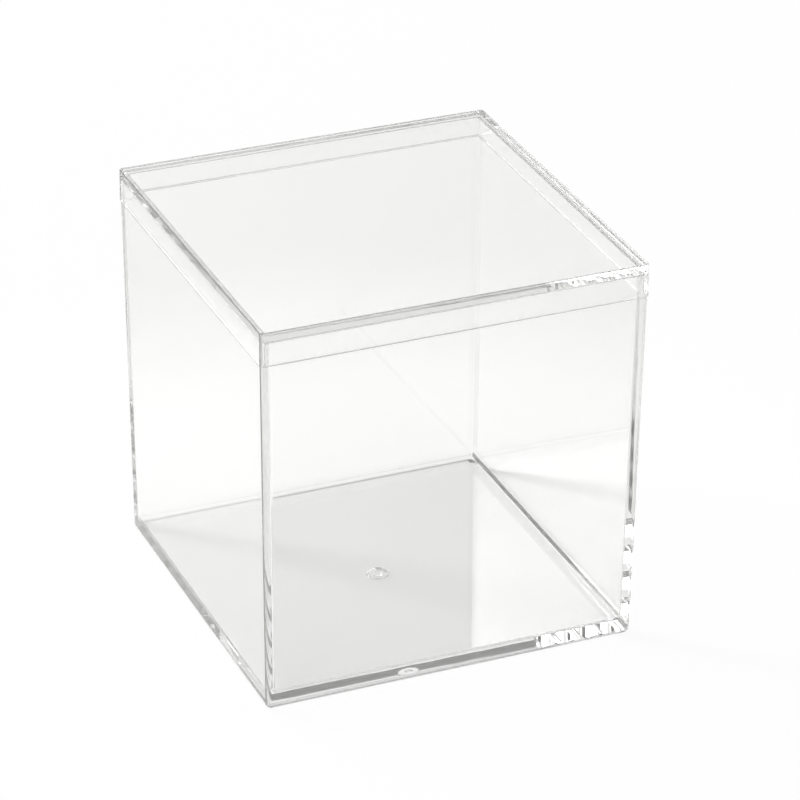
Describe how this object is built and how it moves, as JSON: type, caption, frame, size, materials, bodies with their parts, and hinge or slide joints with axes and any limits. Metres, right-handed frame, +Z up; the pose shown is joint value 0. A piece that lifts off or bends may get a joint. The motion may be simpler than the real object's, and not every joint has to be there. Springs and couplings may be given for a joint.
{
  "type": "storage box with lid",
  "caption": "Clear square storage box, moulded with drafted walls and a rebated rim, closed by a lift-off lid whose skirt carries on the line of the walls.",
  "frame": {"origin": "middle of the base, on the surface the box stands on", "axes": "+Z up, the way the lid lifts; X and Y square to the walls, all four sides are alike"},
  "size_m": [0.085, 0.085, 0.088],
  "materials": {
    "clear_box": "clear polished moulding",
    "clear_lid": "clear polished moulding"
  },
  "bodies": {
    "box": {"box_body": "clear_box"},
    "lid": {"lid": "clear_lid"}
  },
  "joints": [
    {"name": "lid_lift", "type": "slide", "parent": "box", "child": "lid", "axis": [0, 0, 1], "range_m": [0, 0.06]}
  ]
}
